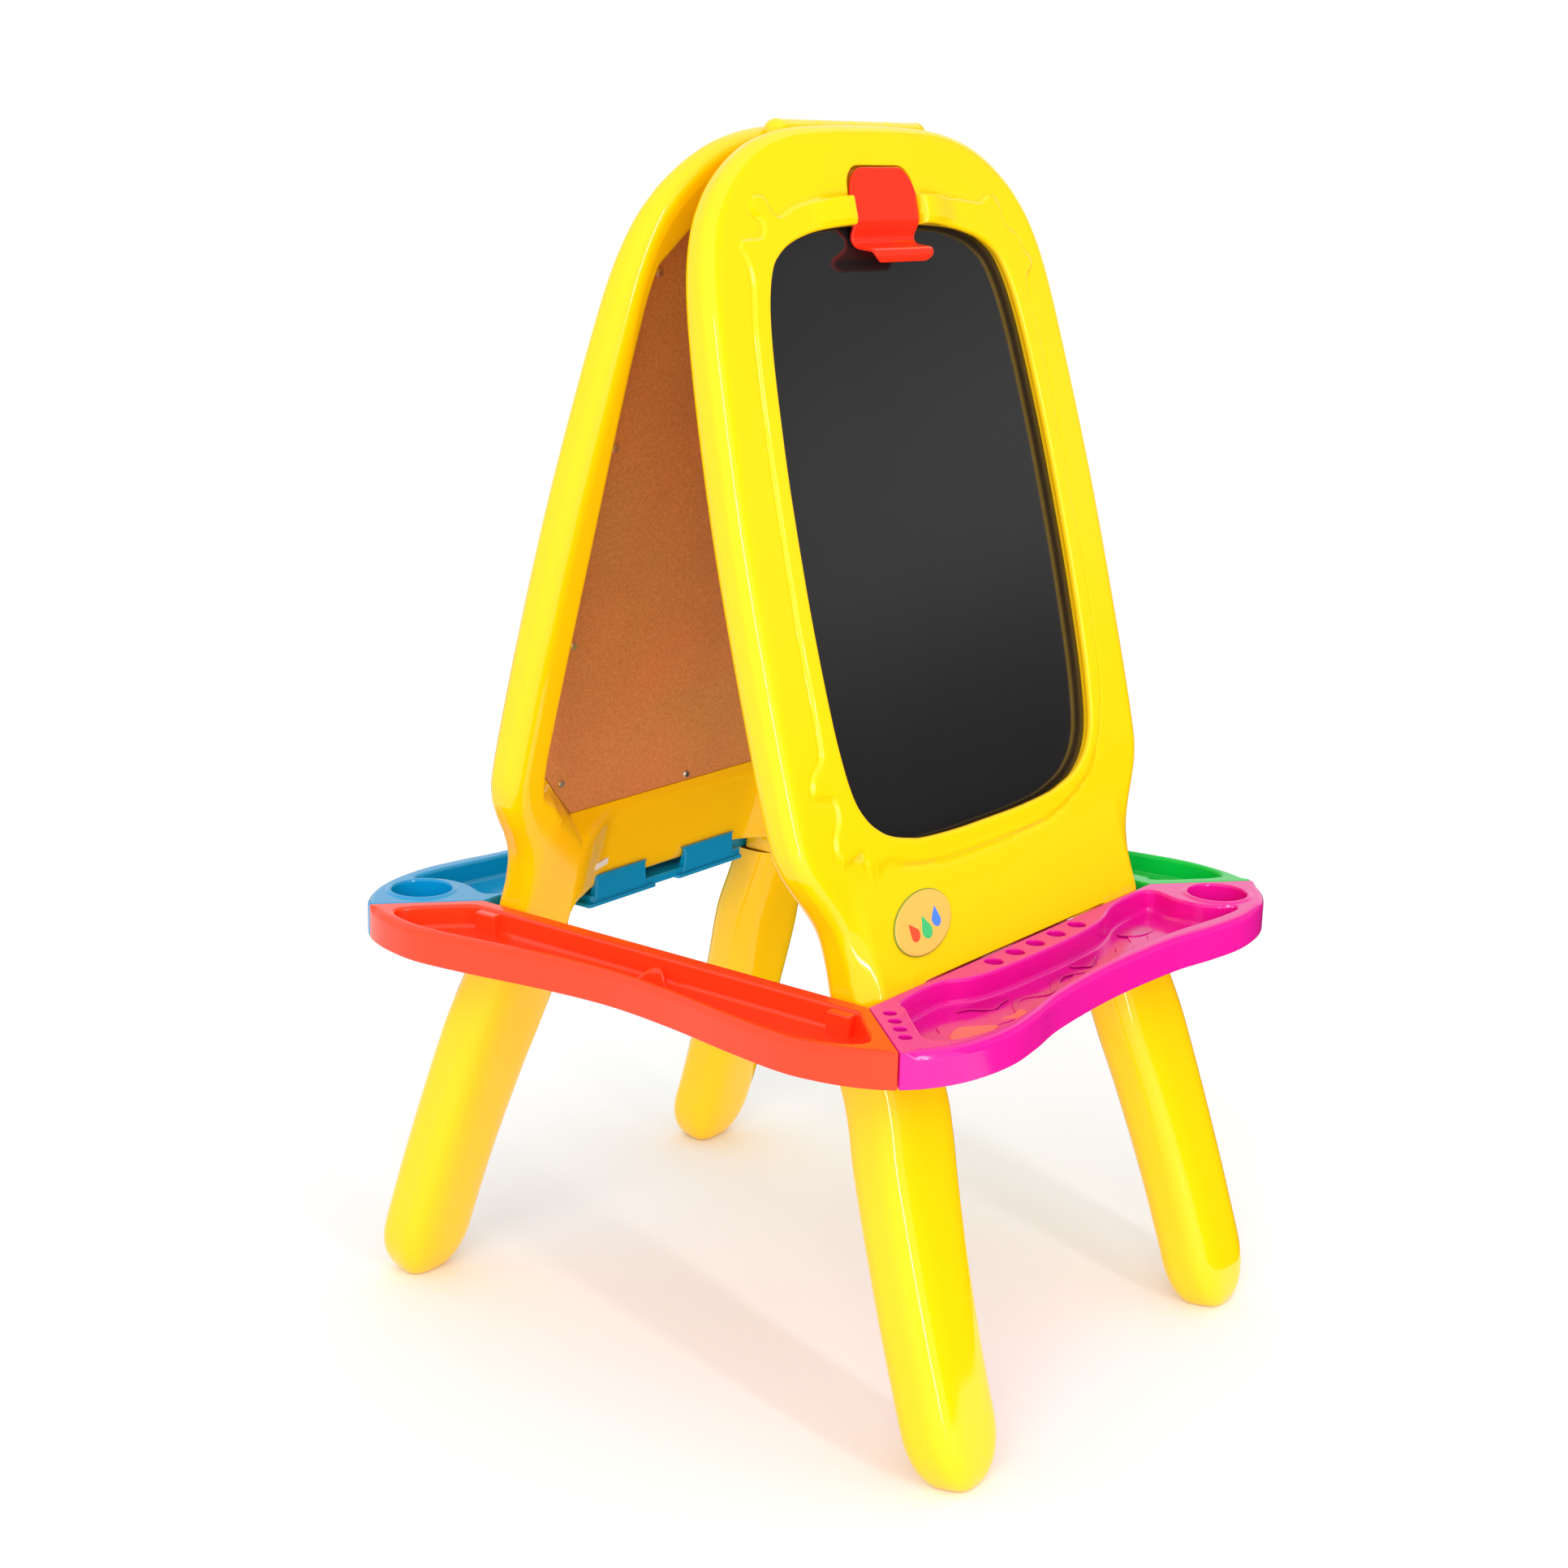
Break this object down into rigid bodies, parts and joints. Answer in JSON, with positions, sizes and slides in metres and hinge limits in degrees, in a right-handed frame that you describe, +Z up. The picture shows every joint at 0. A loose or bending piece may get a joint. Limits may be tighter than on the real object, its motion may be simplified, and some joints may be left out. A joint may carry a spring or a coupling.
{
  "type": "children's easel",
  "caption": "Two-sided folding children's easel with a chalkboard, a whiteboard, paper clips and a ring of four trays on four legs.",
  "frame": {"origin": "on the floor, under the middle of the easel", "axes": "+Z up; -Y is the side the chalkboard faces; +X is to the right seen from the chalkboard side"},
  "size_m": [0.6546, 0.6606, 1.085],
  "materials": {
    "frame_yellow": "satin moulded",
    "leg_yellow": "satin moulded",
    "cap_yellow": "satin moulded",
    "slate": "satin chalk paint",
    "gloss_white": "gloss dry-wipe",
    "hardboard": "matt pressed board",
    "screw_steel": "zinc plated",
    "pin_steel": "plain",
    "spring_steel": "plain",
    "tray_magenta": "satin moulded",
    "tray_blue": "satin moulded",
    "tray_red": "satin moulded",
    "tray_green": "satin moulded",
    "clip_red": "satin moulded",
    "badge_print": "printed label"
  },
  "bodies": {
    "front_side": {"front_frame": "frame_yellow", "chalkboard": "slate", "front_backing": "hardboard", "front_badge": "badge_print", "front_leg_a": "leg_yellow", "front_leg_b": "leg_yellow", "front_leg_screw_a": "screw_steel", "front_leg_screw_b": "screw_steel", "front_tray": "tray_magenta", "front_clip_pin": "pin_steel", "front_clip_spring": "spring_steel", "front_back_screw_1": "screw_steel", "front_back_screw_2": "screw_steel", "front_back_screw_3": "screw_steel", "front_back_screw_4": "screw_steel", "front_back_screw_5": "screw_steel", "front_back_screw_6": "screw_steel", "front_back_screw_7": "screw_steel", "front_back_screw_8": "screw_steel", "front_back_screw_9": "screw_steel", "front_back_screw_10": "screw_steel", "hinge_pin": "pin_steel", "hinge_cap_left": "cap_yellow", "hinge_cap_right": "cap_yellow"},
    "rear_side": {"rear_frame": "frame_yellow", "whiteboard": "gloss_white", "rear_backing": "hardboard", "rear_badge": "badge_print", "rear_leg_a": "leg_yellow", "rear_leg_b": "leg_yellow", "rear_leg_screw_a": "screw_steel", "rear_leg_screw_b": "screw_steel", "rear_tray": "tray_blue", "rear_clip_pin": "pin_steel", "rear_clip_spring": "spring_steel", "rear_back_screw_1": "screw_steel", "rear_back_screw_2": "screw_steel", "rear_back_screw_3": "screw_steel", "rear_back_screw_4": "screw_steel", "rear_back_screw_5": "screw_steel", "rear_back_screw_6": "screw_steel", "rear_back_screw_7": "screw_steel", "rear_back_screw_8": "screw_steel", "rear_back_screw_9": "screw_steel", "rear_back_screw_10": "screw_steel"},
    "left_tray": {"left_tray": "tray_red"},
    "right_tray": {"right_tray": "tray_green"},
    "front_clip": {"front_clip_lever": "clip_red"},
    "rear_clip": {"rear_clip_lever": "clip_red"}
  },
  "joints": [
    {"name": "fold", "type": "hinge", "parent": "front_side", "child": "rear_side", "pos_m": [0, 0, 1.074], "axis": [-1, 0, 0], "range_deg": [0, 20.5]},
    {"name": "left_tray_off", "type": "slide", "parent": "front_side", "child": "left_tray", "axis": [-1, 0, 0], "range_m": [0, 0.32]},
    {"name": "right_tray_off", "type": "slide", "parent": "front_side", "child": "right_tray", "axis": [1, 0, 0], "range_m": [0, 0.32]},
    {"name": "front_clip_press", "type": "hinge", "parent": "front_side", "child": "front_clip", "pos_m": [0, -0.03617, 1.01653], "axis": [-1, 0, 0], "range_deg": [0, 15], "stiffness_Nm_per_rad": 1.2, "springref_deg": -20.05},
    {"name": "rear_clip_press", "type": "hinge", "parent": "rear_side", "child": "rear_clip", "pos_m": [0, 0.03617, 1.01653], "axis": [1, 0, 0], "range_deg": [0, 15], "stiffness_Nm_per_rad": 1.2, "springref_deg": -20.05}
  ],
  "couplings": [
    {"joint": "left_tray_off", "follows": "fold", "m_per_rad": 0.85},
    {"joint": "right_tray_off", "follows": "fold", "m_per_rad": 0.85}
  ]
}
